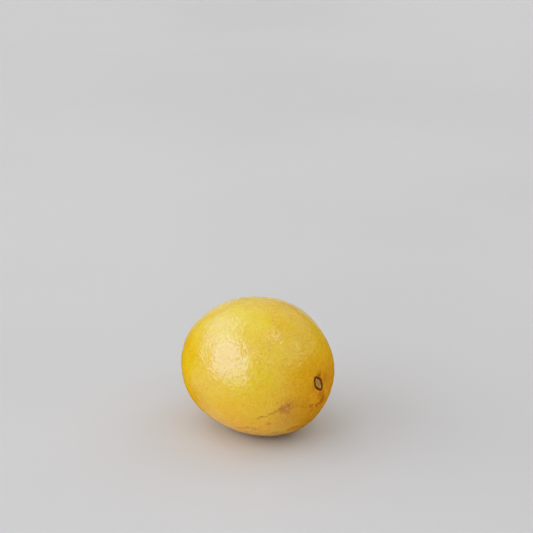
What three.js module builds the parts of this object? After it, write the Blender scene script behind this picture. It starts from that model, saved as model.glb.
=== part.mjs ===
// A whole lemon lying on its side: the fruit, and the woody button left where its stalk broke off.
// Millimetres, +Z up. The origin is on the ground under the middle of the lemon. The stalk end
// points to +X and the nipple to -X.
import * as THREE from "three";

const { degToRad, lerp, smoothstep } = THREE.MathUtils;

// Egg-shaped body, measured from the middle of its widest girth.
const BODY_RADIUS = 30.5;
const STALK_REACH = 33.9;
const NIPPLE_REACH = 37;
const STALK_FULLNESS = 0.015; // share by which the shoulder swells past an ellipse
const NIPPLE_FULLNESS = 0.018;
const END_BLEND = 2.5; // how quickly one half's shape gives way to the other's

// Nipple: a blunt cone that flows out of the body, a little off its axis.
const NIPPLE_HEIGHT = 7.2;
const NIPPLE_SLOPE = 0.82; // fall of the cone's side for each millimetre across
const NIPPLE_TIP_RADIUS = 1.9;
const NIPPLE_FILLET = 4;
const NIPPLE_BLEND = 0.6; // share of the half body over which its foot fades out
const NIPPLE_OFFSET = { y: 0.8, z: 0.6 };
const STYLE_SCAR = { radius: 1.1, depth: 0.55 }; // the small pit at its very tip
const FURROW = { ring: 8.6, width: 1.9, depth: 1.1, toward: degToRad(-125), taper: 2 };

// Stalk end: a wide shallow hollow, and in it the seat that holds the button.
const HOLLOW = { radius: 8, depth: 1.2 };
const SEAT_DEPTH = 1.3;
const SEAT_GAP = 0.3; // clear space round the button and under it
const SEAT_REACH = 3; // the skin follows the button's outline out to this many seat radii

// Button: a small oval disc with a raised rim and a dished middle.
const BUTTON_LENGTH = 8.3;
const BUTTON_WIDTH = 4.4;
const BUTTON_SQUARENESS = 2.4; // 2 is an ellipse, larger makes its ends blunter
const BUTTON_THICKNESS = 1.2;
const BUTTON_DISH = 0.35;
const BUTTON_RIM = 0.35; // height of the rim's rounded outer edge
const BUTTON_FOOT = 0.2; // height of the bevel round its underside
const BUTTON_TURN = degToRad(124.5); // direction of its length, from +Y towards +Z
const BUTTON_LOBES = { count: 5, share: 0.02, turn: degToRad(20) };

// Broad swells and flats that keep the fruit from being perfectly round. Each lies in a direction
// given by its turn from +X towards +Y and its angle above the horizon, in degrees.
const SWELL_SPREAD = degToRad(22);
const SWELLS = [
  { turn: 83, above: 57, height: 0.5 },
  { turn: 50, above: 23, height: -0.7 },
  { turn: 7, above: -50, height: 0.7 },
  { turn: -132, above: -20, height: 0.55 },
  { turn: -167, above: 44, height: -0.6 },
];

// How it lies on the ground.
const REST_TILT = degToRad(1.5); // the stalk end is raised by this
const REST_FLAT_DEPTH = 0.5; // depth of the small flat that its own weight presses

// Fineness of the faceted surfaces.
const FRUIT_COLUMNS = 88;
const FRUIT_ROWS = 48;
const ROW_BUNCHING = 0.55; // 0 spaces the rows evenly, larger draws them towards both ends
const BUTTON_COLUMNS = 44;

const PEEL = new THREE.MeshStandardMaterial({ color: 0xe3b824, roughness: 0.42, metalness: 0 });
const WOOD = new THREE.MeshStandardMaterial({ color: 0x8a6a35, roughness: 0.8, metalness: 0 });

// A closed surface about the X axis. pointAt gives the skin's point at a level and an angle, which
// runs from +Y towards +Z. The levels run from the +X end to the -X end, and the first and the last
// are single points.
function closedSkin(levels, columns, pointAt) {
  const last = levels.length - 1;
  const isTip = (ring) => ring === 0 || ring === last;
  const points = levels.flatMap((level, ring) =>
    Array.from({ length: isTip(ring) ? 1 : columns }, (_, column) =>
      pointAt(level, (2 * Math.PI * column) / columns),
    ),
  );
  const firstOf = (ring) => (ring === 0 ? 0 : 1 + (ring - 1) * columns);
  const indexOf = (ring, column) => firstOf(ring) + (isTip(ring) ? 0 : column);
  const faces = [];
  for (let ring = 0; ring < last; ring++) {
    for (let column = 0; column < columns; column++) {
      const next = (column + 1) % columns;
      const [here, beside] = [indexOf(ring, column), indexOf(ring, next)];
      const [below, belowBeside] = [indexOf(ring + 1, column), indexOf(ring + 1, next)];
      if (!isTip(ring)) faces.push(here, below, beside);
      if (!isTip(ring + 1)) faces.push(beside, below, belowBeside);
    }
  }
  return new THREE.BufferGeometry().setFromPoints(points).setIndex(faces);
}

function directionOf(turn, above) {
  const level = Math.cos(above);
  return new THREE.Vector3(level * Math.cos(turn), level * Math.sin(turn), Math.sin(above));
}

// Distance from the button's middle to its edge: an oval with faint lobes.
function buttonEdge(around) {
  const along = Math.abs(Math.cos(around - BUTTON_TURN)) / (BUTTON_LENGTH / 2);
  const beside = Math.abs(Math.sin(around - BUTTON_TURN)) / (BUTTON_WIDTH / 2);
  const oval = (along ** BUTTON_SQUARENESS + beside ** BUTTON_SQUARENESS) ** (-1 / BUTTON_SQUARENESS);
  return oval * (1 + BUTTON_LOBES.share * Math.cos(BUTTON_LOBES.count * (around - BUTTON_LOBES.turn)));
}

// Distance from the body's middle to its surface. polar is the angle from the stalk end's axis.
function bodyDistance(polar) {
  const along = Math.cos(polar);
  const across = Math.sin(polar);
  const stalkShare = 0.5 + 0.5 * Math.tanh(END_BLEND * along);
  const reach = lerp(NIPPLE_REACH, STALK_REACH, stalkShare);
  const fullness = lerp(NIPPLE_FULLNESS, STALK_FULLNESS, stalkShare);
  const ellipse = 1 / Math.hypot(along / reach, across / BODY_RADIUS);
  return ellipse * (1 + fullness * Math.sin(2 * polar) ** 2);
}

// How far the nipple stands out at a place across the nipple end.
function nippleRise(y, z) {
  const fromAxisY = y - NIPPLE_OFFSET.y;
  const fromAxisZ = z - NIPPLE_OFFSET.z;
  const across = Math.hypot(fromAxisY, fromAxisZ);
  const around = Math.atan2(fromAxisZ, fromAxisY);
  const fall = Math.hypot(across, NIPPLE_TIP_RADIUS) - NIPPLE_TIP_RADIUS;
  const cone = NIPPLE_HEIGHT - NIPPLE_SLOPE * fall;
  const filleted = (cone + Math.hypot(cone, NIPPLE_FILLET)) / 2;
  const scar = STYLE_SCAR.depth * Math.exp(-((across / STYLE_SCAR.radius) ** 2));
  const side = (0.5 + 0.5 * Math.cos(around - FURROW.toward)) ** FURROW.taper;
  const furrow = FURROW.depth * side * Math.exp(-(((across - FURROW.ring) / FURROW.width) ** 2));
  return filleted - scar - furrow;
}

function swellHeight(direction) {
  return SWELLS.reduce((sum, { turn, above, height }) => {
    const away = direction.angleTo(directionOf(degToRad(turn), degToRad(above)));
    return sum + height * Math.exp(-((away / SWELL_SPREAD) ** 2));
  }, 0);
}

// The levels of the fruit's skin: the floor of the seat, its lip, and on to the nipple's tip. Each
// has an angle from the stalk end's axis, and the share by which it follows the button's outline.
const SEAT_RADIUS = (BUTTON_LENGTH + BUTTON_WIDTH) / 4 + SEAT_GAP;
const SEAT_ANGLE = SEAT_RADIUS / STALK_REACH;
const fruitLevels = [
  { polar: 0, follow: 1, floor: true },
  { polar: SEAT_ANGLE / 2, follow: 1, floor: true },
  { polar: SEAT_ANGLE, follow: 1, floor: true },
  ...Array.from({ length: FRUIT_ROWS + 1 }, (_, row) => {
    const step = row / FRUIT_ROWS;
    const bunched = step - (ROW_BUNCHING * Math.sin(2 * Math.PI * step)) / (2 * Math.PI);
    const polar = lerp(SEAT_ANGLE, Math.PI, bunched);
    return { polar, follow: 1 - smoothstep(polar, SEAT_ANGLE, SEAT_REACH * SEAT_ANGLE), floor: false };
  }),
];

function fruitPoint({ polar, follow, floor }, around) {
  const outline = (buttonEdge(around) + SEAT_GAP) / SEAT_RADIUS;
  const angle = polar * lerp(1, outline, follow);
  const distance = bodyDistance(angle);
  const across = distance * Math.sin(angle);
  const point = new THREE.Vector3(
    distance * Math.cos(angle),
    across * Math.cos(around),
    across * Math.sin(around),
  );
  const outward = point.clone().normalize();
  point.addScaledVector(outward, swellHeight(outward));
  if (outward.x > 0) point.x -= HOLLOW.depth * Math.exp(-((across / HOLLOW.radius) ** 2));
  else point.x -= smoothstep(-outward.x, 0, NIPPLE_BLEND) * nippleRise(point.y, point.z);
  if (floor) point.x -= SEAT_DEPTH;
  return point;
}

// Presses a flat into the lowest part of a skin that will be tilted by REST_TILT.
function pressFlat(geometry) {
  const up = new THREE.Vector3(Math.sin(REST_TILT), 0, Math.cos(REST_TILT));
  const positions = geometry.getAttribute("position");
  const points = Array.from({ length: positions.count }, (_, i) =>
    new THREE.Vector3().fromBufferAttribute(positions, i),
  );
  const ground = Math.min(...points.map((point) => point.dot(up))) + REST_FLAT_DEPTH;
  points.forEach((point, i) => {
    point.addScaledVector(up, Math.max(0, ground - point.dot(up)));
    positions.setXYZ(i, point.x, point.y, point.z);
  });
}

function makeFruit() {
  const geometry = closedSkin(fruitLevels, FRUIT_COLUMNS, fruitPoint);
  pressFlat(geometry);
  geometry.computeVertexNormals();
  const fruit = new THREE.Mesh(geometry, PEEL);
  fruit.name = "lemon_fruit";
  return fruit;
}

// The button stands on its own x = 0, with its dished face towards +X. Its profile runs from the
// middle of that face to the middle of its underside: out is a share of the way to its edge.
function makeButton() {
  const profile = [
    { out: 0, height: BUTTON_THICKNESS - BUTTON_DISH },
    { out: 0.3, height: BUTTON_THICKNESS - BUTTON_DISH },
    { out: 0.55, height: BUTTON_THICKNESS - 0.85 * BUTTON_DISH },
    { out: 0.76, height: BUTTON_THICKNESS - 0.3 * BUTTON_DISH },
    { out: 0.88, height: BUTTON_THICKNESS },
    { out: 0.96, height: BUTTON_THICKNESS - BUTTON_RIM / 3 },
    { out: 1, height: BUTTON_THICKNESS - BUTTON_RIM },
    { out: 1, height: BUTTON_FOOT },
    { out: 0.94, height: 0 },
    { out: 0, height: 0 },
  ];
  const geometry = closedSkin(profile, BUTTON_COLUMNS, ({ out, height }, around) => {
    const across = out * buttonEdge(around);
    return new THREE.Vector3(height, across * Math.cos(around), across * Math.sin(around));
  });
  geometry.computeVertexNormals();
  const button = new THREE.Mesh(geometry, WOOD);
  button.name = "stem_button";
  button.position.x = STALK_REACH - HOLLOW.depth - SEAT_DEPTH + SEAT_GAP;
  return button;
}

const lying = new THREE.Group();
lying.add(makeFruit(), makeButton());
lying.rotation.y = -REST_TILT;

// The lemon is moved so that the origin is under the middle of its box.
const box = new THREE.Box3().setFromObject(lying, true);
const middle = box.getCenter(new THREE.Vector3());
lying.position.set(-middle.x, -middle.y, -box.min.z);

const lemon = new THREE.Group();
lemon.add(lying);

export default lemon;
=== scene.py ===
from math import cos, radians, sin

import bpy
import numpy as np
from mathutils import Matrix, Vector


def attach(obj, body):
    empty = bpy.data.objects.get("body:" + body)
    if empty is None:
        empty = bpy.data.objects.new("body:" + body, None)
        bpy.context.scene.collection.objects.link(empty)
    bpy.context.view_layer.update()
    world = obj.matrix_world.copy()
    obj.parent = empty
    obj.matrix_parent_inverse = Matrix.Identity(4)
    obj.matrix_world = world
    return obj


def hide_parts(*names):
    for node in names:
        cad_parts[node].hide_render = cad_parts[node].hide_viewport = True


# A whole lemon lying on its side on a pale floor. Shapes are worked out in millimetres in the
# fruit's own frame, with its stalk end towards +X, then laid down and turned into metres.

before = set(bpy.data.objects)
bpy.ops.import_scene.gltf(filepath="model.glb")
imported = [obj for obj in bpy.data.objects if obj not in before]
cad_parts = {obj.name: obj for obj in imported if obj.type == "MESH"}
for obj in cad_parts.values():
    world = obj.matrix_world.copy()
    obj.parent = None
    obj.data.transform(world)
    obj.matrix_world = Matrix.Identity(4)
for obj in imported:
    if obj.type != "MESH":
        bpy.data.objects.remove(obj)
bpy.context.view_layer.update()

# ----------------------------------------------------------------
# Sizes, in millimetres. Down to how it lies, they are the same as the solids'.
# ----------------------------------------------------------------

# Egg-shaped body, measured from the middle of its widest girth.
BODY_RADIUS = 30.5
STALK_REACH = 33.9
NIPPLE_REACH = 37.0
STALK_FULLNESS = 0.015  # share by which the shoulder swells past an ellipse
NIPPLE_FULLNESS = 0.018
END_BLEND = 2.5  # how quickly one half's shape gives way to the other's

# Nipple: a blunt cone that flows out of the body, a little off its axis.
NIPPLE_HEIGHT = 7.2
NIPPLE_SLOPE = 0.82  # fall of the cone's side for each millimetre across
NIPPLE_TIP_RADIUS = 1.9
NIPPLE_FILLET = 4.0
NIPPLE_BLEND = 0.6  # share of the half body over which its foot fades out
NIPPLE_OFF_AXIS = (0.8, 0.6)
STYLE_SCAR_RADIUS = 1.1  # of the small pit at its very tip
STYLE_SCAR_DEPTH = 0.55
FURROW_RING = 8.6  # distance from its middle to the crease at its foot
FURROW_WIDTH = 1.9
FURROW_DEPTH = 1.1
FURROW_TOWARD = radians(-125)

# Stalk end: a wide shallow hollow, and in it the seat that holds the button.
HOLLOW_RADIUS = 8.0
HOLLOW_DEPTH = 1.2
SEAT_DEPTH = 1.3
SEAT_GAP = 0.3  # clear space under the button
SEAT_REACH = 3.0  # the skin follows the button's outline out to this many seat radii

# Button: a small oval disc with a raised rim and a dished middle.
BUTTON_LENGTH = 8.3
BUTTON_WIDTH = 4.4
BUTTON_SQUARENESS = 2.4  # 2 is an ellipse, larger makes its ends blunter
BUTTON_THICKNESS = 1.2
BUTTON_DISH = 0.35
BUTTON_RIM = 0.35  # height of the rim's rounded outer edge
BUTTON_FOOT = 0.2  # height of the bevel round its underside
BUTTON_TURN = radians(124.5)  # direction of its length, from +Y towards +Z
BUTTON_LOBES = 5
BUTTON_LOBE_SHARE = 0.02
BUTTON_LOBE_TURN = radians(20)

# Swells and flats of the body: turn from +X towards +Y, angle above the horizon, height.
SWELL_SPREAD = radians(22)
SWELLS = ((83, 57, 0.5), (50, 23, -0.7), (7, -50, 0.7), (-132, -20, 0.55), (-167, 44, -0.6))

# How it lies on the ground.
REST_TILT = radians(1.5)  # the stalk end is raised by this
REST_FLAT_DEPTH = 0.5  # depth of the small flat that its own weight presses
BODY_PLACE = (5.6407, 0.0089)  # where the body's middle comes to lie, along X and Y

# Fineness of the skin, and the seat as it shows.
SKIN_COLUMNS = 400
SEAT_RINGS = 6
WALL_RINGS = 12
SKIN_RINGS = 230
RING_BUNCHING = 0.35  # 0 spaces the rings evenly, larger draws them towards both ends
LOOK_GAP = 0.1  # the peel closes in on the button up to this
WALL_WIDTH = 0.34  # the seat's wall leans out by this

# Unevenness: wavelength, height, the seed of its waves and their number.
PEEL_LUMPS = ((9.0, 0.07, 3, 28), (3.6, 0.05, 5, 28), (1.9, 0.032, 6, 40))
WORN_LUMPS = ((1.5, 0.10, 21, 28), (0.7, 0.05, 22, 28))  # of the button
ROUGH_FROM = (4.2, 7.0)  # distances from the button's middle where the peel begins to be uneven

# Ridges that run out from an end: their number, how far they bend in radians, the wavelength and
# the seed of the bends, and the distances from the axis over which they rise and fade again. An
# end is where the cosine of the angle from the axis goes from the first value to the second.
STALK_FURROWS = (9, 1.3, 14.0, 8, (3.8, 6.0), (9, 15))
STALK_FURROW_HEIGHT = 0.06
STALK_END = (0.55, 0.95)
NIPPLE_FOLDS = (7, 1.6, 8.0, 11, (1.2, 4.0), (6.5, 11))
NIPPLE_FOLD_HEIGHT = 0.10
NIPPLE_END = (0.8, 0.97)

# The button's fibres, the slit along its dished middle, and the dark ring round it.
BUTTON_COLUMNS = 180
FIBRES = 11
FIBRE_BEND = 2  # radians
FIBRE_HEIGHT = 0.035
SLIT_DEPTH = 0.16
SLIT_WIDTH = 0.28
SLIT_REACH = (1.6, 2.7)  # from the middle, where the slit begins to fade and has gone
SLIT_SWAY = 0.25  # how far it winds to either side
SLIT_SWAY_PACE = 1.1  # radians for each millimetre along it
RING_WIDTH = 0.75
RING_SQUARENESS = 1.45  # 1 is a rhombus, 2 an ellipse

# Relief of the materials.
PORE_SPACING = 1.15
PORE_DEPTH = 0.08
PEBBLE_SIZE = 1.4
PEBBLE_HEIGHT = 0.155
FLECK_SIZE = 0.3
FLECK_HEIGHT = 0.16

MM = 0.001


# ----------------------------------------------------------------
# Scene and mesh tools
# ----------------------------------------------------------------


def add_object(name, data):
    """Puts a mesh, a light or a camera into the scene as a new object."""
    thing = bpy.data.objects.new(name, data)
    bpy.context.scene.collection.objects.link(thing)
    return thing


def smooth(value, low, high):
    """Rises from 0 at low to 1 at high, level at both ends: 3 t squared less 2 t cubed."""
    t = np.clip((value - low) / (high - low), 0, 1)
    return t * t * (3 - 2 * t)


def lumps(points, wavelength, seed, waves=28):
    """Even unevenness from about -1 to 1: a sum of plane waves of one wavelength that run in
    scattered directions with scattered phases."""
    chance = np.random.default_rng(seed)
    ways = chance.normal(size=(waves, 3))
    ways *= (2 * np.pi / wavelength) / np.linalg.norm(ways, axis=1, keepdims=True)
    phases = chance.uniform(0, 2 * np.pi, waves)
    return np.cos(points @ ways.T + phases).sum(-1) * np.sqrt(0.5 / waves)


def layered_lumps(points, layers):
    """The sum of several layers of lumps, each times its height."""
    return sum(
        height * lumps(points, wavelength, seed, waves)
        for wavelength, height, seed, waves in layers
    )


def lay_down(points):
    """From the fruit's own frame in millimetres to the floor's frame in metres: turned by the
    rest tilt about the Y axis, and moved along X and Y to where the body's middle lies."""
    x, y, z = points[..., 0], points[..., 1], points[..., 2]
    along = x * cos(REST_TILT) - z * sin(REST_TILT) + BODY_PLACE[0]
    upward = x * sin(REST_TILT) + z * cos(REST_TILT)
    return np.stack([along, y + BODY_PLACE[1], upward], -1) * MM


def skin_faces(levels, columns):
    """The faces of a closed skin whose points run ring by ring, with one point for each pole: a
    fan round the first pole, four-sided faces between the rings, and a fan round the last."""
    here = np.arange(columns)
    beside = (here + 1) % columns
    start = 1 + np.arange(levels - 3)[:, None] * columns
    quads = np.stack(
        [start + here, start + columns + here, start + columns + beside, start + beside], -1
    ).reshape(-1, 4)
    first_fan = np.stack([np.zeros_like(here), 1 + here, 1 + beside], -1)
    end = 1 + (levels - 3) * columns
    last_fan = np.stack([end + beside, end + here, np.full_like(here, end + columns)], -1)
    return first_fan.tolist() + quads.tolist() + last_fan.tolist()


def skin_map(u, v):
    """The texture map of those faces, corner by corner. U has the place of each column and the
    first one's again at the far side, and V of each ring. A pole lies midway over each face."""
    columns, bands = len(u) - 1, len(v) - 3
    pole_u = (u[:-1] + u[1:]) / 2
    first, second, before_last, last = (np.full(columns, v[ring]) for ring in (0, 1, -2, -1))
    first_map = np.stack([pole_u, first, u[:-1], second, u[1:], second], -1)
    last_map = np.stack([u[1:], before_last, u[:-1], before_last, pole_u, last], -1)
    low, high = np.repeat(v[1:-2], columns), np.repeat(v[2:-1], columns)
    left, right = np.tile(u[:-1], bands), np.tile(u[1:], bands)
    quad_map = np.stack([left, low, left, high, right, high, right, low], -1)
    return np.concatenate([first_map.ravel(), quad_map.ravel(), last_map.ravel()])


def closed_skin(name, rings, ring_shares):
    """A closed mesh from a grid of points: rings from the +X pole to the -X pole, each a circle of
    columns from +Y towards +Z. The first and the last ring are single points. The texture map
    lays the columns evenly along U, and the rings along V from 1 down to 0 by their shares."""
    levels, columns = rings.shape[:2]
    points = np.vstack([rings[0, :1], rings[1:-1].reshape(-1, 3), rings[-1, :1]])
    mesh = bpy.data.meshes.new(name)
    mesh.from_pydata(points, [], skin_faces(levels, columns))
    corners = skin_map(np.arange(columns + 1) / columns, 1 - ring_shares)
    mesh.uv_layers.new(name="OFBake").data.foreach_set("uv", corners.astype(np.float32))
    mesh.polygons.foreach_set("use_smooth", np.ones(len(mesh.polygons), bool))
    mesh.update()
    return add_object(name, mesh)


def outward_ways(rings):
    """The direction out of the skin at each grid point: the cross product of the steps along the
    columns and along the rings, with the two poles pointing along the axis."""
    along_ring = np.roll(rings, -1, axis=1) - np.roll(rings, 1, axis=1)
    across_rings = np.gradient(rings, axis=0)
    ways = np.cross(across_rings, along_ring)
    ways[0], ways[-1] = (1, 0, 0), (-1, 0, 0)
    return ways / np.maximum(np.linalg.norm(ways, axis=-1, keepdims=True), 1e-12)


# ----------------------------------------------------------------
# The peel
# ----------------------------------------------------------------


def way_of(turn, above):
    """The unit vector at a turn from +X towards +Y and an angle above the horizon, in degrees."""
    level = cos(radians(above))
    return np.array(
        [level * cos(radians(turn)), level * sin(radians(turn)), sin(radians(above))]
    )


def button_edge(around):
    """Distance from the button's middle to its edge: the radius of an oval whose two parts are
    raised to its squareness instead of squared, times one plus five faint cosine lobes."""
    along = np.abs(np.cos(around - BUTTON_TURN)) / (BUTTON_LENGTH / 2)
    beside = np.abs(np.sin(around - BUTTON_TURN)) / (BUTTON_WIDTH / 2)
    oval = (along**BUTTON_SQUARENESS + beside**BUTTON_SQUARENESS) ** (-1 / BUTTON_SQUARENESS)
    return oval * (1 + BUTTON_LOBE_SHARE * np.cos(BUTTON_LOBES * (around - BUTTON_LOBE_TURN)))


def body_distance(polar):
    """Distance from the body's middle to its skin at an angle from the stalk's axis: an ellipse,
    swollen between its axes by the sine of twice the angle squared. The two halves' lengths give
    way to each other by a hyperbolic tangent."""
    along, across = np.cos(polar), np.sin(polar)
    stalk_share = 0.5 + 0.5 * np.tanh(END_BLEND * along)
    reach = NIPPLE_REACH + (STALK_REACH - NIPPLE_REACH) * stalk_share
    fullness = NIPPLE_FULLNESS + (STALK_FULLNESS - NIPPLE_FULLNESS) * stalk_share
    ellipse = 1 / np.hypot(along / reach, across / BODY_RADIUS)
    return ellipse * (1 + fullness * np.sin(2 * polar) ** 2)


def nipple_rise(y, z):
    """How far the nipple stands out: a cone with a rounded tip, filleted into nothing at its foot
    by a hyperbola, less a small bell-shaped scar at the tip and a crease on one side of the foot."""
    from_y, from_z = y - NIPPLE_OFF_AXIS[0], z - NIPPLE_OFF_AXIS[1]
    across = np.hypot(from_y, from_z)
    around = np.arctan2(from_z, from_y)
    fall = np.hypot(across, NIPPLE_TIP_RADIUS) - NIPPLE_TIP_RADIUS
    cone = NIPPLE_HEIGHT - NIPPLE_SLOPE * fall
    filleted = (cone + np.hypot(cone, NIPPLE_FILLET)) / 2
    scar = STYLE_SCAR_DEPTH * np.exp(-((across / STYLE_SCAR_RADIUS) ** 2))
    side = (0.5 + 0.5 * np.cos(around - FURROW_TOWARD)) ** 2
    furrow = FURROW_DEPTH * side * np.exp(-(((across - FURROW_RING) / FURROW_WIDTH) ** 2))
    return filleted - scar - furrow


def swell_height(ways):
    """Sum of the swells, each its height times a bell of the angle away from its direction."""
    total = 0
    for turn, above, height in SWELLS:
        away = np.arccos(np.clip(ways @ way_of(turn, above), -1, 1))
        total = total + height * np.exp(-((away / SWELL_SPREAD) ** 2))
    return total


def skin_levels():
    """The rings of the skin, as three arrays: the angle from the stalk's axis, the share by which
    the ring follows the button's outline, and how far it is sunk. They run over the seat's floor,
    up its wall, and over the fruit, a little closer together at both ends."""
    seat_radius = (BUTTON_LENGTH + BUTTON_WIDTH) / 4 + SEAT_GAP
    seat_angle = seat_radius / STALK_REACH
    wall = WALL_WIDTH / STALK_REACH
    floor = np.linspace(0, seat_angle - wall, SEAT_RINGS, endpoint=False)
    climb = np.linspace(seat_angle - wall, seat_angle, WALL_RINGS, endpoint=False)
    step = np.linspace(0, 1, SKIN_RINGS)
    bunched = step - RING_BUNCHING * np.sin(2 * np.pi * step) / (2 * np.pi)
    skin = seat_angle + (np.pi - seat_angle) * bunched
    polar = np.concatenate([floor, climb, skin])
    follow = 1 - smooth(polar, seat_angle, SEAT_REACH * seat_angle)
    sink = SEAT_DEPTH * (1 - smooth(polar, seat_angle - wall, seat_angle))
    return polar, follow, sink, seat_radius


def skin_points():
    """The smooth skin. Each ring is the body's outline turned about the X axis, and follows the
    button's outline near the stalk. Swells are added outwards, the hollow and the seat are sunk
    along the axis, and the nipple is drawn out along it."""
    polar, follow, sink, seat_radius = skin_levels()
    around = np.arange(SKIN_COLUMNS) * 2 * np.pi / SKIN_COLUMNS
    outline = (button_edge(around) + LOOK_GAP) / seat_radius
    angle = polar[:, None] * (1 + follow[:, None] * (outline - 1))
    distance = body_distance(angle)
    across = distance * np.sin(angle)
    points = np.stack(
        [distance * np.cos(angle), across * np.cos(around), across * np.sin(around)], -1
    )
    ways = points / np.linalg.norm(points, axis=-1, keepdims=True)
    points += ways * swell_height(ways)[..., None]
    hollow = HOLLOW_DEPTH * np.exp(-((across / HOLLOW_RADIUS) ** 2))
    fade = smooth(-ways[..., 0], 0, NIPPLE_BLEND)
    nipple = fade * nipple_rise(points[..., 1], points[..., 2])
    points[..., 0] -= np.where(ways[..., 0] > 0, hollow, nipple) + sink[:, None]
    return points, ways


def ridges(points, number, bend, wavelength, seed, rise, fade):
    """Ridges that run out from the axis: cosines of the turn about it, bent to and fro by lumps.
    They rise and fade again with the distance from the axis."""
    across = np.hypot(points[..., 1], points[..., 2])
    around = np.arctan2(points[..., 2], points[..., 1])
    waves = np.cos(number * around + bend * lumps(points, wavelength, seed))
    return waves * smooth(across, *rise) * (1 - smooth(across, *fade))


def roughen(points, ways):
    """Moves the skin along its own outward direction: lumps over the whole fruit, faint furrows
    that run out from the button, and small folds round the nipple. It stays smooth where it meets
    the button."""
    toward_stalk = ways[..., 0]
    furrows = ridges(points, *STALK_FURROWS) * smooth(toward_stalk, *STALK_END)
    folds = ridges(points, *NIPPLE_FOLDS) * smooth(-toward_stalk, *NIPPLE_END)
    height = layered_lumps(points, PEEL_LUMPS)
    height += STALK_FURROW_HEIGHT * furrows + NIPPLE_FOLD_HEIGHT * folds
    clear = smooth(np.hypot(points[..., 1], points[..., 2]), *ROUGH_FROM)
    height *= np.where(toward_stalk > 0, clear, 1.0)
    return points + outward_ways(points) * height[..., None]


def press_flat(points):
    """Lifts the lowest part of the skin onto a level plane, as the fruit's own weight does. The
    plane is level once the fruit is laid down."""
    up = np.array([sin(REST_TILT), 0, cos(REST_TILT)])
    height = points @ up
    ground = height.min() + REST_FLAT_DEPTH
    return points + up * np.maximum(0, ground - height)[..., None]


def shares_along(points):
    """How far along the skin each ring lies, from 0 to 1: the sum of the steps of the rings'
    middles and of the changes of their mean radius."""
    steps = np.linalg.norm(np.diff(points.mean(axis=1), axis=0), axis=-1)
    steps += np.abs(np.diff(np.linalg.norm(points[..., 1:], axis=-1).mean(axis=1)))
    length = np.concatenate([[0], np.cumsum(steps)])
    return length / length[-1]


def make_peel():
    """The fruit's skin as one closed piece that rests on the floor. Returns the piece, its grid of
    points in the fruit's own frame, the directions to them from the body's middle, and how far the
    whole is lifted to rest on the floor."""
    points, ways = skin_points()
    points = press_flat(roughen(points, ways))
    rings = lay_down(points)
    lift = -rings[..., 2].min()
    rings[..., 2] += lift
    peel = closed_skin("lemon_peel", rings, shares_along(points))
    return peel, points, ways, lift


# ----------------------------------------------------------------
# The stalk's button
# ----------------------------------------------------------------


def button_profile():
    """The button's profile from the middle of its dished face over the rim and under it, as three
    arrays: the station along it, the share of the way out to the edge, and the height. It runs
    straight between its corners, and a running mean of the heights rounds those above the foot."""
    shares = (0, 0.3, 0.55, 0.76, 0.88, 0.96, 1.0, 1.0, 0.94, 0.0)
    top = BUTTON_THICKNESS
    heights = (
        top - BUTTON_DISH, top - BUTTON_DISH, top - 0.85 * BUTTON_DISH, top - 0.3 * BUTTON_DISH,
        top, top - BUTTON_RIM / 3, top - BUTTON_RIM, BUTTON_FOOT, 0, 0,
    )
    counts = (10, 10, 12, 10, 8, 6, 6, 2, 8)
    spans = [np.linspace(i, i + 1, n, endpoint=False) for i, n in enumerate(counts)]
    station = np.concatenate(spans + [[len(counts)]])
    out = np.interp(station, np.arange(len(shares)), shares)
    height = np.interp(station, np.arange(len(shares)), heights)
    kernel = np.array([1, 3, 4, 3, 1]) / 12
    soft = np.convolve(np.pad(height, 2, mode="edge"), kernel, "valid")
    return station, out, np.where(station < 7, soft, height)


def button_relief(points, around, station, out):
    """Unevenness of the button's upper side: a rim worn by lumps, fibres that are cosines of the
    turn about the axis, and a slit along its length, a bell of the distance from a winding line."""
    y, z = points[..., 1], points[..., 2]
    upper = (station < 5.5)[:, None] * smooth(out, 0.0, 0.15)[:, None]
    rim = smooth(out, 0.6, 0.85)[:, None]
    worn = layered_lumps(points, WORN_LUMPS) * (0.35 + 0.65 * rim)
    bend = FIBRE_BEND * lumps(points, 2.5, 23)
    fibres = FIBRE_HEIGHT * np.cos(FIBRES * around + bend) * (1 - rim)
    along = np.cos(BUTTON_TURN) * y + np.sin(BUTTON_TURN) * z
    beside = -np.sin(BUTTON_TURN) * y + np.cos(BUTTON_TURN) * z
    beside += SLIT_SWAY * np.sin(SLIT_SWAY_PACE * along)
    slit = -SLIT_DEPTH * np.exp(-((beside / SLIT_WIDTH) ** 2))
    slit *= 1 - smooth(np.abs(along), *SLIT_REACH)
    return (worn + fibres) * upper + slit * (station < 5)[:, None]


def make_button(lift):
    """The button as one closed piece: its profile carried round its edge, with its relief, in the
    fruit's seat."""
    station, out, height = button_profile()
    around = np.arange(BUTTON_COLUMNS) * 2 * np.pi / BUTTON_COLUMNS
    across = out[:, None] * button_edge(around)
    y, z = across * np.cos(around), across * np.sin(around)
    points = np.stack([np.broadcast_to(height[:, None], y.shape), y, z], -1)
    relief = button_relief(points, around, station, out)
    points[..., 0] += relief + STALK_REACH - HOLLOW_DEPTH - SEAT_DEPTH + SEAT_GAP
    rings = lay_down(points)
    rings[..., 2] += lift
    return closed_skin("stalk_button", rings, station / station[-1])


# ----------------------------------------------------------------
# Node tools
# ----------------------------------------------------------------


def tint(red, green, blue):
    """A colour given as it shows on a screen, 0 to 255, as linear values with full alpha."""
    shown = np.array([red, green, blue]) / 255
    linear = np.where(shown <= 0.04045, shown / 12.92, ((shown + 0.055) / 1.055) ** 2.4)
    return (*[float(value) for value in linear], 1.0)


def feed(tree, socket, value):
    """Links a socket to another one, or sets it to a plain value."""
    if isinstance(value, bpy.types.NodeSocket):
        tree.links.new(value, socket)
    else:
        socket.default_value = value


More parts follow.
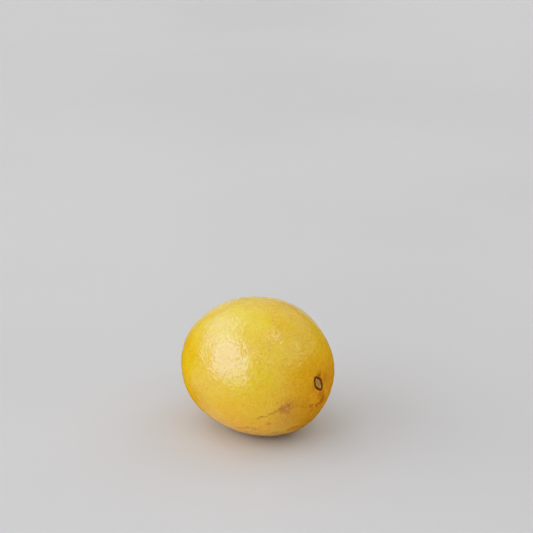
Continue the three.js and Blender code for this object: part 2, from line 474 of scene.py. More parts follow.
def calc(tree, operation, *values):
    """A Math node's result."""
    node = tree.nodes.new("ShaderNodeMath")
    node.operation = operation
    for socket, value in zip(node.inputs, values):
        feed(tree, socket, value)
    return node.outputs[0]


def vector_calc(tree, operation, *values):
    """A Vector Math node's result, a number or a vector as the operation gives."""
    node = tree.nodes.new("ShaderNodeVectorMath")
    node.operation = operation
    for socket, value in zip(node.inputs, values):
        feed(tree, socket, value)
    number = operation in ("DOT_PRODUCT", "LENGTH", "DISTANCE")
    return node.outputs["Value" if number else "Vector"]


def scaled(tree, vector, factor):
    """A vector times a number."""
    node = tree.nodes.new("ShaderNodeVectorMath")
    node.operation = "SCALE"
    feed(tree, node.inputs[0], vector)
    feed(tree, node.inputs["Scale"], factor)
    return node.outputs["Vector"]


def span(tree, value, low, high, to_low=0.0, to_high=1.0):
    """A Map Range node that goes smoothly from to_low at low to to_high at high."""
    node = tree.nodes.new("ShaderNodeMapRange")
    node.interpolation_type = "SMOOTHSTEP"
    for name, number in zip(
        ("Value", "From Min", "From Max", "To Min", "To Max"), (value, low, high, to_low, to_high)
    ):
        feed(tree, node.inputs[name], number)
    return node.outputs["Result"]


def blend(tree, factor, first, second):
    """A colour Mix node's result: the first at a factor of 0 and the second at 1."""
    node = tree.nodes.new("ShaderNodeMix")
    node.data_type = "RGBA"
    feed(tree, node.inputs[0], factor)
    feed(tree, node.inputs[6], first)
    feed(tree, node.inputs[7], second)
    return node.outputs[2]


def noise(tree, place, size, detail=2.0, roughness=0.5, output="Fac"):
    """A Noise node whose largest lumps are about size metres apart."""
    node = tree.nodes.new("ShaderNodeTexNoise")
    feed(tree, node.inputs["Vector"], place)
    node.inputs["Scale"].default_value = 1 / size
    node.inputs["Detail"].default_value = detail
    node.inputs["Roughness"].default_value = roughness
    return node.outputs[output]


def new_group(name, inputs, outputs):
    """A shader node group with named sockets. Returns it with its inner ends."""
    group = bpy.data.node_groups.new(name, "ShaderNodeTree")
    for label, kind, default in inputs:
        socket = group.interface.new_socket(label, in_out="INPUT", socket_type=kind)
        if default is not None:
            socket.default_value = default
    for label, kind in outputs:
        group.interface.new_socket(label, in_out="OUTPUT", socket_type=kind)
    entry = group.nodes.new("NodeGroupInput")
    leave = group.nodes.new("NodeGroupOutput")
    return group, entry.outputs, leave.inputs


def place_group(tree, group, **values):
    """A group node with its inputs fed. Names are the sockets', in lower case."""
    node = tree.nodes.new("ShaderNodeGroup")
    node.node_tree = group
    for name, value in values.items():
        feed(tree, node.inputs[name.capitalize()], value)
    return node.outputs


def new_material(name):
    """An empty material with one Principled BSDF. Returns it, its tree and the shader."""
    material = bpy.data.materials.new(name)
    material.use_nodes = True
    tree = material.node_tree
    tree.nodes.clear()
    output = tree.nodes.new("ShaderNodeOutputMaterial")
    shader = tree.nodes.new("ShaderNodeBsdfPrincipled")
    tree.links.new(shader.outputs["BSDF"], output.inputs["Surface"])
    return material, tree, shader


def add_relief(tree, shader, height):
    """Gives a shader relief from a height in millimetres."""
    bump = tree.nodes.new("ShaderNodeBump")
    bump.inputs["Distance"].default_value = MM
    feed(tree, bump.inputs["Height"], height)
    feed(tree, shader.inputs["Normal"], bump.outputs["Normal"])


def object_place(tree):
    """The Object coordinates, in metres."""
    return tree.nodes.new("ShaderNodeTexCoord").outputs["Object"]


VECTOR, NUMBER = "NodeSocketVector", "NodeSocketFloat"


# ----------------------------------------------------------------
# Shared effects
# ----------------------------------------------------------------


def make_pore_group():
    """Oil pores: round pits about the points of a cell pattern, each with its own size and tone.
    Pit is 1 at a pore's middle, and Tone differs from pore to pore."""
    group, given, out = new_group(
        "pore field",
        [("Place", VECTOR, None), ("Spacing", NUMBER, PORE_SPACING * MM)],
        [("Pit", NUMBER), ("Tone", NUMBER)],
    )
    cells = group.nodes.new("ShaderNodeTexVoronoi")
    cells.feature = "F1"
    feed(group, cells.inputs["Vector"], given["Place"])
    feed(group, cells.inputs["Scale"], calc(group, "DIVIDE", 1.0, given["Spacing"]))
    cells.inputs["Randomness"].default_value = 0.85
    parts = group.nodes.new("ShaderNodeSeparateColor")
    feed(group, parts.inputs[0], cells.outputs["Color"])
    tone = parts.outputs["Red"]
    edge = span(group, tone, 0.0, 1.0, 0.45, 0.72)
    pit = span(group, cells.outputs["Distance"], 0.0, edge, 1.0, 0.0)
    feed(group, out["Pit"], pit)
    feed(group, out["Tone"], parts.outputs["Green"])
    return group


def make_line_group():
    """A scuff line: 1 along the straight way from Start to End, fading softly over half of Width
    on either side. Place comes already wobbled, so the line isn't ruled."""
    group, given, out = new_group(
        "scuff line",
        [("Place", VECTOR, None), ("Start", VECTOR, None), ("End", VECTOR, None),
         ("Width", NUMBER, 0.0006)],
        [("Mask", NUMBER)],
    )
    way = vector_calc(group, "SUBTRACT", given["End"], given["Start"])
    here = vector_calc(group, "SUBTRACT", given["Place"], given["Start"])
    along = calc(
        group, "DIVIDE",
        vector_calc(group, "DOT_PRODUCT", here, way), vector_calc(group, "DOT_PRODUCT", way, way),
    )
    share = calc(group, "MINIMUM", calc(group, "MAXIMUM", along, 0.0), 1.0)
    away = vector_calc(group, "DISTANCE", here, scaled(group, way, share))
    half = calc(group, "MULTIPLY", given["Width"], 0.5)
    feed(group, out["Mask"], span(group, away, 0.0, half, 1.0, 0.0))
    return group


def make_patch_group():
    """A patch: a blob about Centre, for russet and for the wide soft patches of painted sheen and
    painted shade. Grain is a noise that eats into its edge and breaks it into speckles, by the share
    Ragged. The less ragged it is, the more softly it fades."""
    group, given, out = new_group(
        "russet and painted light patch",
        [("Place", VECTOR, None), ("Centre", VECTOR, None), ("Radius", NUMBER, 0.002),
         ("Grain", NUMBER, 0.5), ("Ragged", NUMBER, 1.0)],
        [("Mask", NUMBER)],
    )
    away = vector_calc(group, "DISTANCE", given["Place"], given["Centre"])
    share = calc(group, "DIVIDE", away, given["Radius"])
    eaten = calc(group, "MULTIPLY", calc(group, "SUBTRACT", given["Grain"], 0.5), given["Ragged"])
    ragged = calc(group, "ADD", share, calc(group, "MULTIPLY", eaten, 2.6))
    full = calc(group, "MULTIPLY", given["Ragged"], 0.45)
    feed(group, out["Mask"], span(group, ragged, full, 1.0, 1.0, 0.0))
    return group


def make_outline_group():
    """The button's own measures about its Middle. Along and Beside run from -1 to 1 over its
    length and its width. Inner and Outer are 1 on two rounded rhombuses, the inner and the outer
    edge of its dark ring, and grow outwards."""
    group, given, out = new_group(
        "button outline",
        [("Place", VECTOR, None), ("Middle", VECTOR, None)],
        [("Along", NUMBER), ("Beside", NUMBER), ("Inner", NUMBER), ("Outer", NUMBER)],
    )
    across = np.array([cos(BUTTON_TURN), sin(BUTTON_TURN)])
    here = vector_calc(group, "SUBTRACT", given["Place"], given["Middle"])
    here = scaled(group, here, 1 / MM)
    lengths = []
    for y, z in (across, (-across[1], across[0])):
        way = (-z * sin(REST_TILT), y, z * cos(REST_TILT))
        lengths.append(vector_calc(group, "DOT_PRODUCT", here, tuple(float(n) for n in way)))
    along, beside = lengths
    feed(group, out["Along"], calc(group, "MULTIPLY", along, 2 / BUTTON_LENGTH))
    feed(group, out["Beside"], calc(group, "MULTIPLY", beside, 2 / BUTTON_WIDTH))
    for name, inset in (("Inner", RING_WIDTH), ("Outer", 0.0)):
        shares = []
        for length, whole in ((along, BUTTON_LENGTH), (beside, BUTTON_WIDTH)):
            share = calc(group, "DIVIDE", calc(group, "ABSOLUTE", length), whole / 2 - inset)
            shares.append(calc(group, "POWER", share, RING_SQUARENESS))
        feed(group, out[name], calc(group, "POWER", calc(group, "ADD", *shares), 1 / RING_SQUARENESS))
    return group


# ----------------------------------------------------------------
# Materials
# ----------------------------------------------------------------

PEEL_PALE = tint(232, 208, 56)
PEEL_GREENISH = tint(216, 202, 34)
PEEL_YELLOW = tint(229, 195, 26)
PEEL_GOLD = tint(228, 183, 18)
PEEL_ORANGE = tint(238, 162, 32)
PEEL_HONEY = tint(196, 136, 16)
PORE_GOLD = tint(206, 146, 4)
RUSSET_PINK = tint(182, 108, 34)
RUSSET_BROWN = tint(166, 76, 4)
RUST = tint(176, 82, 2)
SCAR_BROWN = tint(104, 34, 1)
BUTTON_CREAM = tint(214, 180, 110)
BUTTON_TAN = tint(176, 134, 60)
BUTTON_OLIVE = tint(166, 136, 26)
BUTTON_DARK = tint(98, 42, 2)

# Places on the peel: turns from +X towards +Y and angles above the horizon, in degrees.
# Middle of the painted warm shade under the stalk, over the peel's own deeper tone there.
SHADED_PLACE = (4, -14)  # where the peel is warmest, just under the stalk
SCRATCH = ((-34.4, -12.0), (-36.5, -13.0), (-39.2, -14.9), (-41.8, -17.0), (-47.4, -20.5))
SCRATCH_BESIDE = ((-32.6, -12.8), (-36.0, -14.6), (-40.6, -17.4))
SCRATCH_END = ((-49.0, -19.9), (-51.2, -21.0), (-53.4, -22.9))
CRACK = ((7.1, -13.1), (5.1, -15.3), (2.9, -17.6), (-1.2, -17.8))
CRACK_FOOT = ((1.8, -18.3), (1.6, -20.3))
LOOP_TOP = ((-10.4, -15.3), (-8.8, -15.0), (-5.8, -15.8))
LOOP_FOOT = ((-5.2, -17.1), (-6.9, -17.4), (-9.3, -16.5))
LOOP_TAIL = ((-18.9, -13.6), (-11.5, -15.7))
TIP_HOOK = ((0.4, 5.6), (0.1, 7.0), (1.8, 5.9))  # at the button's upper end
HAIRLINE = ((-38.7, -43.4), (-32.0, -44.1))
FAR_SCUFF = ((128.0, 3.0), (134.0, 0.0), (140.0, -1.0), (146.0, -4.5))
LOW_SMEAR = ((-77.7, -42.4), (-69.7, -39.4), (-60.3, -35.7))

WOBBLE = 0.9  # millimetres by which the marks' edges wander, at most

# Lines: the places they pass, width in millimetres, colour and strength.
LINES = (
    (SCRATCH, 1.2, RUSSET_BROWN, 0.75),
    (SCRATCH_BESIDE, 0.9, RUSSET_BROWN, 0.45),
    (SCRATCH_END, 1.7, RUSSET_BROWN, 0.90),
    (CRACK, 3.6, RUST, 0.45),
    (CRACK, 2.0, SCAR_BROWN, 0.75),
    (CRACK_FOOT, 1.4, RUSSET_BROWN, 0.60),
    (TIP_HOOK, 1.2, SCAR_BROWN, 0.60),
    (LOOP_TOP, 1.3, RUSSET_BROWN, 0.95),
    (LOOP_FOOT, 1.2, RUSSET_BROWN, 0.60),
    (LOOP_TAIL, 1.1, RUSSET_PINK, 0.45),
    (HAIRLINE, 1.2, RUSSET_BROWN, 0.75),
    (LOW_SMEAR, 2.0, RUSSET_PINK, 0.50),
    (FAR_SCUFF, 1.2, RUSSET_BROWN, 0.60),
)

# Patches: place, radius in millimetres, raggedness, colour and strength. Most are russet, smudges and
# speckles; the wide soft ones are painted sheen and painted shade.
PATCHES = (
    # a soft band, and under it a scab of speckles round a clean spot
    ((-29.4, -7.9), 5.2, 0.3, PEEL_HONEY, 0.42),
    ((-22.9, -9.3), 4.6, 0.3, PEEL_HONEY, 0.42),
    ((-14.0, -11.0), 4.6, 0.3, PEEL_HONEY, 0.36),
    ((-31.0, -12.9), 3.6, 0.9, RUSSET_PINK, 0.75),
    ((-33.8, -10.1), 0.9, 0.6, RUSSET_BROWN, 0.60),
    ((-28.8, -10.0), 1.0, 0.6, RUSSET_BROWN, 0.65),
    ((-27.3, -13.6), 1.0, 0.6, RUSSET_BROWN, 0.65),
    ((-28.1, -17.1), 0.9, 0.6, RUSSET_BROWN, 0.60),
    ((-37.8, -7.3), 0.8, 0.6, RUSSET_BROWN, 0.25),
    ((-29.6, -13.1), 1.1, 0.2, PEEL_GOLD, 0.95),
    # under the loop and beside the crack
    ((-6.0, -20.6), 2.6, 0.5, RUSSET_PINK, 0.40),
    ((7.4, -17.0), 4.0, 0.3, RUST, 0.50),
    # wide and faint: painted sheen, paler on top, and painted shade, dull low down and beside the
    # stalk
    ((-62.0, 62.0), 13.0, 0.2, PEEL_PALE, 0.40),
    ((-113.0, -12.0), 12.0, 0.2, PEEL_HONEY, 0.30),
    ((-27.0, -22.0), 11.0, 0.2, PEEL_HONEY, 0.45),
    ((-3.0, -28.0), 12.0, 0.2, PEEL_HONEY, 0.38),
    ((14.0, 0.0), 12.0, 0.2, RUST, 0.22),
    # smudges and speckles low on the belly
    ((-43.8, -28.3), 1.6, 0.9, RUSSET_PINK, 0.40),
    ((-57.4, -38.4), 1.7, 1.0, RUSSET_PINK, 0.40),
    ((-63.6, -35.6), 0.7, 0.6, RUSSET_BROWN, 0.45),
    ((-75.8, -41.3), 0.8, 0.6, RUSSET_BROWN, 0.45),
    ((-21.2, -40.5), 1.3, 1.0, RUSSET_BROWN, 0.60),
    ((-18.2, -38.0), 1.5, 1.2, RUSSET_BROWN, 0.55),
    ((-15.0, -36.6), 1.0, 1.2, RUSSET_BROWN, 0.45),
    ((-5.2, -40.0), 1.5, 1.2, RUSSET_BROWN, 0.50),
    ((-3.2, -34.6), 1.1, 1.2, RUSSET_BROWN, 0.45),
    # a few on the far side
    ((112.0, 12.0), 2.2, 0.9, RUSSET_PINK, 0.45),
    ((148.0, -22.0), 1.6, 1.0, RUSSET_PINK, 0.45),
    ((96.0, -28.0), 1.6, 1.1, RUSSET_BROWN, 0.45),
    ((137.0, 38.0), 1.2, 1.0, RUSSET_BROWN, 0.40),
    # round the stalk's button: painted shade of the hollow it sits in
    ((0.6, 7.2), 3.2, 0.2, RUST, 0.50),
    ((8.5, 1.5), 3.4, 0.2, RUST, 0.32),
    ((3.3, -10.0), 4.0, 0.2, RUST, 0.52),
    ((-4.8, -1.5), 4.2, 0.2, PEEL_HONEY, 0.48),
)


def place_finder(points, ways, lift):
    """A function from a direction on the fruit to the place on its skin, in metres: as far out in
    that direction as the nearest point of the skin's grid."""
    flat_ways, distances = ways.reshape(-1, 3), np.linalg.norm(points, axis=-1).ravel()

    def place(turn, above):
        way = way_of(turn, above)
        spot = lay_down(way * distances[np.argmax(flat_ways @ way)])
        return (float(spot[0]), float(spot[1]), float(spot[2] + lift))

    return place


def trail(tree, group, wobbled, places, width):
    """The mask of a line through a row of places, a scuff for each straight part of it."""
    total = None
    for first, second in zip(places, places[1:]):
        mask = place_group(tree, group, place=wobbled, start=first, end=second, width=width)["Mask"]
        total = mask if total is None else calc(tree, "MAXIMUM", total, mask)
    return total


def lay_marks(tree, groups, place, place_of, colour):
    """Lays the lines and the patches over a colour; the wide soft patches among them are painted sheen
    and painted shade. The place is wobbled by a noise first, and the lines are broken by another.
    Returns the colour and a share from 0 to 1 of how strongly the marks and the painted patches cover
    the peel."""
    wobble = noise(tree, place, 2.2 * MM, output="Color")
    shift = scaled(tree, vector_calc(tree, "SUBTRACT", wobble, (0.5, 0.5, 0.5)), WOBBLE * MM)
    wobbled = vector_calc(tree, "ADD", place, shift)
    broken = span(tree, noise(tree, place, 1.4 * MM), 0.3, 0.55, 0.35, 1.0)
    speckle = noise(tree, wobbled, 1.1 * MM, detail=3.0, roughness=0.7)
    shares = []
    for spot, radius, ragged, tone, strength in PATCHES:
        mask = place_group(
            tree, groups["patch"], place=wobbled, centre=place_of(*spot), radius=radius * MM,
            grain=speckle, ragged=ragged,
        )["Mask"]
        shares.append((calc(tree, "MULTIPLY", mask, strength), tone))
    for path, width, tone, strength in LINES:
        places = [place_of(*spot) for spot in path]
        mask = trail(tree, groups["line"], wobbled, places, width * MM)
        shares.append((calc(tree, "MULTIPLY", calc(tree, "MULTIPLY", mask, broken), strength), tone))
    # Marks and the patches of painted sheen and shade count here alike.
    marks_and_painted_light = 0.0
    for share, tone in shares:
        colour = blend(tree, share, colour, tone)
        marks_and_painted_light = calc(tree, "MAXIMUM", marks_and_painted_light, share)
    return colour, marks_and_painted_light


def cloudy_yellow(tree, place):
    """The peel's own yellow, which drifts to gold in broad clouds and to pale in smaller ones."""
    clouds = noise(tree, place, 22 * MM, detail=3.0)
    drifts = noise(tree, place, 9 * MM)
    colour = blend(tree, span(tree, clouds, 0.35, 0.65), PEEL_YELLOW, PEEL_GOLD)
    return blend(tree, span(tree, drifts, 0.52, 0.75, 0.0, 0.55), colour, PEEL_PALE)


def warmed_and_shaded(tree, place, colour, shaded_place, from_tip):
    """The colour turned more orange at the nipple, and under the stalk and on the belly. At the nipple
    it is the peel's own tone. Under the stalk and on the belly it is partly the peel's own deeper tone
    and partly painted warm shade and bounce.
    """
    apart = tree.nodes.new("ShaderNodeSeparateXYZ")
    feed(tree, apart.inputs[0], place)
    from_shade = vector_calc(tree, "DISTANCE", place, shaded_place)
    # Painted warm shade under the stalk, over the peel's own deeper tone there.
    stalk_shade = span(tree, from_shade, 4 * MM, 36 * MM, 0.95, 0.0)
    nipple_halo = span(tree, from_tip, 2 * MM, 16 * MM, 0.55, 0.0)
    # Partly painted warm shade and bounce: more orange low on the belly, towards the floor.
    belly = span(tree, apart.outputs["Z"], 0.0, 40 * MM, 0.50, 0.0)
    warm = calc(tree, "MAXIMUM", calc(tree, "MAXIMUM", stalk_shade, nipple_halo), belly)
    return blend(tree, warm, colour, PEEL_ORANGE)


def grained(tree, place, colour, grain, pores):
    """The colour with a greenish and golden mottle, darker in the pores and paler between them."""
    mottle = noise(tree, place, 3 * MM, detail=3.0, roughness=0.6)
    colour = blend(tree, span(tree, mottle, 0.50, 0.68, 0.0, 0.25), colour, PEEL_GREENISH)
    colour = blend(tree, span(tree, mottle, 0.34, 0.50, 0.12, 0.0), colour, PORE_GOLD)
    colour = blend(tree, span(tree, grain, 0.34, 0.48, 0.16, 0.0), colour, PORE_GOLD)
    pore_tint = span(tree, pores["Tone"], 0.0, 1.0, 0.10, 0.55)
    colour = blend(tree, calc(tree, "MULTIPLY", pores["Pit"], pore_tint), colour, PORE_GOLD)
    return blend(tree, span(tree, grain, 0.45, 0.7, 0.0, 0.32), colour, PEEL_PALE)


def scarred_ends(tree, place, colour, grain, from_tip, button_middle, outline):
    """The colour with the worn lip round the button, rusty and dark next to its two ends, and the
    small brown scar at the nipple's tip. The grain makes both ragged."""
    from_button = vector_calc(tree, "DISTANCE", place, button_middle)
    at_button = span(tree, from_button, 6 * MM, 9 * MM, 1.0, 0.0)
    worn = calc(tree, "MULTIPLY_ADD", grain, 0.30, calc(tree, "SUBTRACT", outline["Outer"], 0.15))
    lip = calc(tree, "MULTIPLY", span(tree, worn, 1.0, 1.35, 0.7, 0.0), at_button)
    colour = blend(tree, lip, colour, RUST)
    dark_lip = calc(tree, "MULTIPLY", span(tree, worn, 1.04, 1.24, 0.9, 0.0), at_button)
    colour = blend(tree, dark_lip, colour, BUTTON_DARK)
    near_tip = calc(tree, "SUBTRACT", from_tip, 0.8 * MM)
    ragged_tip = calc(tree, "MULTIPLY_ADD", grain, 1.6 * MM, near_tip)
    colour = blend(tree, span(tree, ragged_tip, 1.2 * MM, 3.6 * MM, 0.55, 0.0), colour, RUST)
    return blend(tree, span(tree, ragged_tip, 0.9 * MM, 1.9 * MM, 0.9, 0.0), colour, SCAR_BROWN)


def make_peel_material(groups, place_of, button_middle, nipple_tip):
    """Waxy yellow rind: a clouded and grained yellow. It is warmer at the nipple, and under the stalk
    and on the belly, partly by its own deeper tone and partly by painted warm shade and bounce. Over
    it lie the marks, among them wide patches of painted sheen and painted shade, the worn lip and the
    nipple's scar. Relief: pores and fine pebbles. Marks, painted patches among them, are a little
    duller than clean peel."""
    material, tree, shader = new_material("lemon peel")
    place = object_place(tree)
    grain = noise(tree, place, 1.1 * MM, roughness=0.6)
    pores = place_group(tree, groups["pore"], place=place, spacing=PORE_SPACING * MM)
    outline = place_group(tree, groups["outline"], place=place, middle=button_middle)
    from_tip = vector_calc(tree, "DISTANCE", place, nipple_tip)

    colour = cloudy_yellow(tree, place)
    colour = warmed_and_shaded(tree, place, colour, place_of(*SHADED_PLACE), from_tip)
    colour = grained(tree, place, colour, grain, pores)
    colour, marks_and_painted_light = lay_marks(tree, groups, place, place_of, colour)
    colour = scarred_ends(tree, place, colour, grain, from_tip, button_middle, outline)
    feed(tree, shader.inputs["Base Color"], colour)

    gloss = span(tree, noise(tree, place, 6 * MM), 0.3, 0.7, 0.10, 0.13)
    feed(tree, shader.inputs["Roughness"], calc(tree, "MULTIPLY_ADD", marks_and_painted_light, 0.08, gloss))
    shader.inputs["IOR"].default_value = 1.5
    shader.inputs["Specular IOR Level"].default_value = 0.5
    shader.inputs["Subsurface Weight"].default_value = 0.12
    shader.inputs["Subsurface Radius"].default_value = (1.0, 0.55, 0.12)
    shader.inputs["Subsurface Scale"].default_value = 3 * MM

    pits = calc(tree, "MULTIPLY", pores["Pit"], -PORE_DEPTH)
    pebbles = noise(tree, place, PEBBLE_SIZE * MM, detail=0.0)
    add_relief(tree, shader, calc(tree, "MULTIPLY_ADD", pebbles, PEBBLE_HEIGHT, pits))
    return material


def make_button_material(groups, middle):
    """Dry woody button: an olive streak along its tan dished middle, paler fibres, and a dark
    brown flecked ring that turns tan outside its rounded rhombus. Relief: fine flecks."""
    material, tree, shader = new_material("dry stalk")
    place = object_place(tree)
    outline = place_group(tree, groups["outline"], place=place, middle=middle)
    fibres = tree.nodes.new("ShaderNodeCombineXYZ")
    feed(tree, fibres.inputs["X"], calc(tree, "MULTIPLY", outline["Along"], 0.9))
    feed(tree, fibres.inputs["Y"], calc(tree, "MULTIPLY", outline["Beside"], 3.2))
    streaks = noise(tree, fibres.outputs[0], 1.0)
    grain = noise(tree, place, 1.1 * MM, roughness=0.6)
    fleck = noise(tree, place, FLECK_SIZE * MM)
    uneven = calc(tree, "MULTIPLY", calc(tree, "SUBTRACT", grain, 0.5), 0.60)
    inner = calc(tree, "ADD", outline["Inner"], uneven)
    outer = calc(tree, "ADD", outline["Outer"], calc(tree, "MULTIPLY", uneven, 0.4))

    colour = blend(tree, span(tree, streaks, 0.38, 0.62), BUTTON_TAN, BUTTON_CREAM)
    slit = span(tree, calc(tree, "ABSOLUTE", outline["Beside"]), 0.10, 0.42, 0.8, 0.0)
    short = span(tree, calc(tree, "ABSOLUTE", outline["Along"]), 0.35, 0.62, 1.0, 0.0)
    colour = blend(tree, calc(tree, "MULTIPLY", slit, short), colour, BUTTON_OLIVE)
    ring = blend(tree, span(tree, fleck, 0.45, 0.65, 0.0, 0.4), BUTTON_DARK, RUSSET_BROWN)
    colour = blend(tree, span(tree, inner, 0.86, 1.12), colour, ring)
    colour = blend(tree, span(tree, outer, 1.02, 1.20, 0.0, 0.6), colour, BUTTON_TAN)
    colour = blend(tree, span(tree, fleck, 0.5, 0.7, 0.0, 0.3), colour, BUTTON_DARK)
    feed(tree, shader.inputs["Base Color"], colour)
    feed(tree, shader.inputs["Roughness"], span(tree, grain, 0.3, 0.7, 0.75, 0.92))
    shader.inputs["Specular IOR Level"].default_value = 0.06
    add_relief(tree, shader, calc(tree, "MULTIPLY", fleck, FLECK_HEIGHT))
    return material


BOARD_GREY = tint(198, 199, 202)
BOARD_PALE = tint(202, 203, 206)

# Parts of the room: azimuth, and the cosines of the angles away from it where the part begins and
# is full.
DIM_SIDES = ((139, 0.28, 0.76), (-80, 0.70, 0.92))
FRONT = (-24, 0.72, 0.95)
BEHIND = (180, 0.45, 0.90)

# Painted reflection: the colour the lemon's gloss sees on the board further off, painted shade at the
# sides and a painted bright sheen in front. The light's red, green and blue, and the distances from
# the lemon, in metres, where it begins and is full.
MIRRORED_SIDE_SHADE = (0.40, 0.18, 0.01, 1.0)
MIRRORED_FRONT_SHEEN = (0.85, 0.90, 1.0, 1.0)
SIDES_FADE = (0.005, 0.035)
FRONT_FADE = (0.045, 0.080)


def facing(tree, place, azimuth, begin, full):
    """A mask of the places that lie towards an azimuth, by the cosine of the angle from it."""
    level = vector_calc(tree, "NORMALIZE", vector_calc(tree, "MULTIPLY", place, (1, 1, 0)))
    straight = vector_calc(tree, "DOT_PRODUCT", level, tuple(way_to(radians(azimuth), 0)))
    return span(tree, straight, begin, full)


def at_sides(tree, place):
    """A mask that is 1 towards the room's two dim sides and 0 towards its front and back."""
    return calc(tree, "MAXIMUM", *[facing(tree, place, *side) for side in DIM_SIDES])


def make_floor_material():
    """Matt pale board, with very faint clouds in its colour. Only where the lemon's gloss mirrors it
    further off is its colour painted: a bright sheen in front, and shade as dim and warm as the room
    at the two sides."""
    material, tree, shader = new_material("pale board")
    place = object_place(tree)
    clouds = noise(tree, place, 0.35)
    colour = blend(tree, span(tree, clouds, 0.35, 0.65), BOARD_GREY, BOARD_PALE)
    mirrored = tree.nodes.new("ShaderNodeLightPath").outputs["Is Glossy Ray"]
    away = vector_calc(tree, "LENGTH", place)
    for part, fade, tone in (
        (at_sides(tree, place), SIDES_FADE, MIRRORED_SIDE_SHADE),
        (facing(tree, place, *FRONT), FRONT_FADE, MIRRORED_FRONT_SHEEN),
    ):
        share = calc(tree, "MULTIPLY", calc(tree, "MULTIPLY", mirrored, part), span(tree, away, *fade))
        colour = blend(tree, share, colour, tone)
    feed(tree, shader.inputs["Base Color"], colour)
    feed(tree, shader.inputs["Roughness"], span(tree, clouds, 0.3, 0.7, 0.72, 0.78))
    shader.inputs["Specular IOR Level"].default_value = 0.0
    return material


# ----------------------------------------------------------------
# Camera, floor and light
# ----------------------------------------------------------------

FRAME_SIZE = 533  # pixels, both ways
CAMERA_AZIMUTH = radians(39.5)
CAMERA_ELEVATION = radians(20.0)
CAMERA_DISTANCE = 0.700
AIM = Vector((0, 0, 0.0303))
AIM_IN_FRAME = (250.54, 362.28)
FOCAL_PIXELS = 1559.4
SENSOR_WIDTH = 36.0

# Lights: azimuth, elevation and roll in degrees, distance, width and height in metres, radiance.
SOFT_LIGHT = (-32, 12, 0, 3.0, 4.2, 3.4, 1.66)
FILL_LIGHT = (165, 38, 0, 2.5, 2.0, 2.0, 0.7)
GLOSS_PANELS = (
    # near, wide and bright in front: the broad highlight and its streak
    (-24, 24.5, 31.7, 0.14, 0.172, 0.236, 0.9),
    (-22.5, 25, 31.7, 0.14, 0.140, 0.205, 1.5),
    (-18.5, 24.5, 0, 0.14, 0.112, 0.122, 3.0),
    (-66, 38, 0, 0.14, 0.140, 0.080, 1.5),
    (10.5, 2.0, -30, 0.14, 0.015, 0.048, 3.8),
    # far: sheen at the left and on top, and small glints towards the stalk
    (-72, 8, 0, 3.0, 1.40, 0.60, 0.5),
    (-85, 49, 0, 3.0, 1.25, 0.80, 2.6),
    (88, 75, 20, 3.0, 1.0, 0.8, 3.6),
    (18, 48, -20, 3.0, 0.45, 0.30, 3.0),
    (42, 42, 20, 3.0, 0.35, 0.25, 3.5),
    (104, 47, 30, 3.0, 0.50, 0.35, 3.0),
    (114, 29, 10, 3.0, 0.45, 0.30, 3.0),
    (74, 26, -30, 3.0, 0.60, 0.30, 2.5),
    (84, 50, 40, 3.0, 0.40, 0.25, 3.0),
)
SOFT_WHITE = (1.0, 0.99, 0.97)
FILL_CREAM = (1.0, 0.93, 0.75)
GLOSS_BLUISH = (0.78, 0.61, 1.0)

GLOW_AZIMUTH = 5
GLOW_DISTANCE = 0.064
GLOW_SIZE = (0.16, 0.09)
GLOW_RADIANCE = 0.26
GLOW_ORANGE = (1.0, 0.62, 0.08)

ROOM_LOW = (0.50, 0.49, 0.47, 1.0)
ROOM_SIDES = (0.50, 0.25, 0.02, 1.0)
ROOM_HIGH = (1.02, 1.02, 1.03, 1.0)
ROOM_RISE = (0.05, 0.60)  # sines of the elevations between which the room brightens
ROOM_PATCH = 0.13  # size of the room's brighter and darker parts, as seen on a unit sphere
ROOM_BEHIND = 0.65  # how bright the room is behind, of its full brightness
ROOM_SEEN = (0.60, 0.61, 0.63, 1.0)

SHOULDER = ((0.5, 0.5), (0.8, 0.755), (1.0, 0.86))  # light that comes in, light that is shown
SHOULDER_WHITE = 1.3


def way_to(azimuth, elevation):
    """The unit vector towards an azimuth, 0 at -Y and 90 at +X, and an elevation in radians."""
    level = cos(elevation)
    return Vector((sin(azimuth) * level, -cos(azimuth) * level, sin(elevation)))


def make_camera():
    """Turns the camera to its viewing angle, and stands it off so that the lemon's middle comes to
    its place in the frame."""
    back = way_to(CAMERA_AZIMUTH, CAMERA_ELEVATION)
    right = Vector((cos(CAMERA_AZIMUTH), sin(CAMERA_AZIMUTH), 0))
    up = back.cross(right)
    across = (AIM_IN_FRAME[0] - FRAME_SIZE / 2) / FOCAL_PIXELS
    down = (AIM_IN_FRAME[1] - FRAME_SIZE / 2) / FOCAL_PIXELS
    sight = (right * across - up * down - back).normalized()
    data = bpy.data.cameras.new("camera")
    data.sensor_width = SENSOR_WIDTH
    data.lens = FOCAL_PIXELS / FRAME_SIZE * SENSOR_WIDTH
    data.clip_end = 100
    camera = add_object("camera", data)
    turned = Matrix((right, up, back)).transposed().to_4x4()
    camera.matrix_world = Matrix.Translation(AIM - sight * CAMERA_DISTANCE) @ turned
    bpy.context.scene.camera = camera


def area_light(name, shape, width, height, radiance, colour):
    """A flat light that the camera doesn't see. Its power is the radiance times pi times its width
    times its height, so that it looks the same brightness at any size."""
    data = bpy.data.lights.new(name, "AREA")
    data.shape = shape
    data.size = width
    data.size_y = height
    data.energy = radiance * np.pi * width * height
    data.color = colour
    light = add_object(name, data)
    light.visible_camera = False
    return light


def make_light(name, placing, colour, shape="RECTANGLE"):
    """A light that faces the lemon, rolled about the line to it."""
    azimuth, elevation, roll, distance, width, height, radiance = placing
    light = area_light(name, shape, width, height, radiance, colour)
    toward = way_to(radians(azimuth), radians(elevation))
    light.location = AIM + toward * distance
    turned = toward.to_track_quat("Z", "Y").to_matrix() @ Matrix.Rotation(radians(roll), 3, "Z")
    light.rotation_euler = turned.to_euler()
    return light


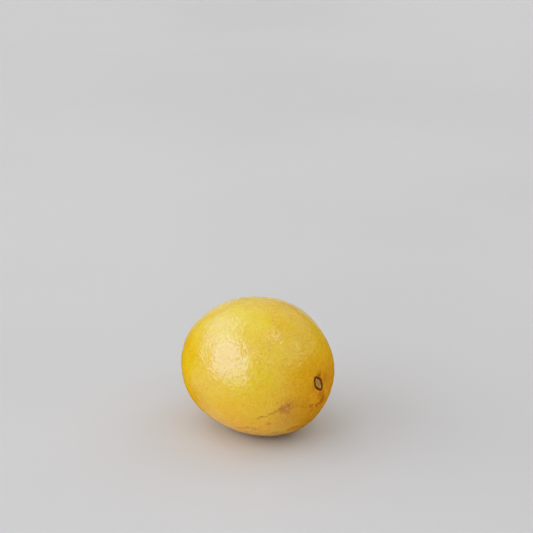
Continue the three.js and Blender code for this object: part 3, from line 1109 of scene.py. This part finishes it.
def make_glow():
    """A faint warm light that lies on the floor in front of the lemon and faces up, for the light
    that the peel's belly gives back and forth with the floor. It doesn't show as gloss. Its power
    counts an ellipse's own area, pi over 4 of its box."""
    glow = area_light("glow", "ELLIPSE", *GLOW_SIZE, GLOW_RADIANCE * np.pi / 4, GLOW_ORANGE)
    glow.location = way_to(radians(GLOW_AZIMUTH), 0) * GLOW_DISTANCE + Vector((0, 0, 0.001))
    glow.rotation_euler = (radians(180), 0, radians(GLOW_AZIMUTH))
    glow.visible_glossy = False


def make_floor():
    """A plain level sheet, far larger than any view of the lemon takes in."""
    half = 30.0
    mesh = bpy.data.meshes.new("floor")
    corners = [(-half, -half, 0), (half, -half, 0), (half, half, 0), (-half, half, 0)]
    mesh.from_pydata(corners, [], [(0, 1, 2, 3)])
    mesh.materials.append(make_floor_material())
    add_object("floor", mesh)


def make_world():
    """Pale light from overhead that falls off lower down, to dim and warm at the two sides. It is
    dimmer behind the lemon, and brighter and darker in patches. Seen directly, the room is one
    even pale tone."""
    world = bpy.data.worlds.new("room")
    bpy.context.scene.world = world
    world.use_nodes = True
    tree = world.node_tree
    background = tree.nodes["Background"]
    toward = tree.nodes.new("ShaderNodeTexCoord").outputs["Generated"]
    upward = vector_calc(tree, "DOT_PRODUCT", toward, (0, 0, 1))
    low = blend(tree, at_sides(tree, toward), ROOM_LOW, ROOM_SIDES)
    lit = blend(tree, span(tree, upward, *ROOM_RISE), low, ROOM_HIGH)
    patchy = span(tree, noise(tree, toward, ROOM_PATCH, detail=1.0), 0.41, 0.59, 0.30, 1.70)
    behind = facing(tree, toward, *BEHIND)
    dimmed = span(tree, behind, 0.0, 1.0, 1.0, ROOM_BEHIND)
    lit = scaled(tree, lit, calc(tree, "MULTIPLY", patchy, dimmed))
    seen = tree.nodes.new("ShaderNodeLightPath").outputs["Is Camera Ray"]
    feed(tree, background.inputs["Color"], blend(tree, seen, lit, ROOM_SEEN))


def soften_highlights():
    """Shows colours as they are, but bends the brightest tones gently down towards white."""
    view = bpy.context.scene.view_settings
    view.view_transform = "Standard"
    view.use_curve_mapping = True
    view.curve_mapping.white_level = (SHOULDER_WHITE,) * 3
    curve = view.curve_mapping.curves[3]
    for light, shown in SHOULDER:
        curve.points.new(light / SHOULDER_WHITE, shown)
    view.curve_mapping.update()


def make_lights():
    """The two soft lights that light the lemon without showing as gloss, the glow on the floor,
    and the panels that show only as gloss."""
    soft_light = make_light("soft_light", SOFT_LIGHT, SOFT_WHITE)
    soft_light.visible_glossy = False
    fill_light = make_light("fill_light", FILL_LIGHT, FILL_CREAM)
    fill_light.visible_glossy = False
    make_glow()
    for number, placing in enumerate(GLOSS_PANELS):
        panel = make_light(f"gloss_light_{number}", placing, GLOSS_BLUISH, "ELLIPSE")
        panel.visible_diffuse = False


soften_highlights()
make_camera()
make_floor()
make_world()
make_lights()

# ----------------------------------------------------------------
# The lemon
# ----------------------------------------------------------------

effects = {
    "pore": make_pore_group(), "line": make_line_group(), "patch": make_patch_group(),
    "outline": make_outline_group(),
}

peel, peel_points, peel_ways, peel_lift = make_peel()
button = make_button(peel_lift)
button_middle = tuple(np.array([v.co for v in button.data.vertices]).mean(0).tolist())
nipple_tip = tuple((lay_down(peel_points[-1, 0]) + (0, 0, peel_lift)).tolist())

finder = place_finder(peel_points, peel_ways, peel_lift)
peel.data.materials.append(make_peel_material(effects, finder, button_middle, nipple_tip))
button.data.materials.append(make_button_material(effects, button_middle))

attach(peel, "root")
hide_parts("lemon_fruit")
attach(button, "root")
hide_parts("stem_button")
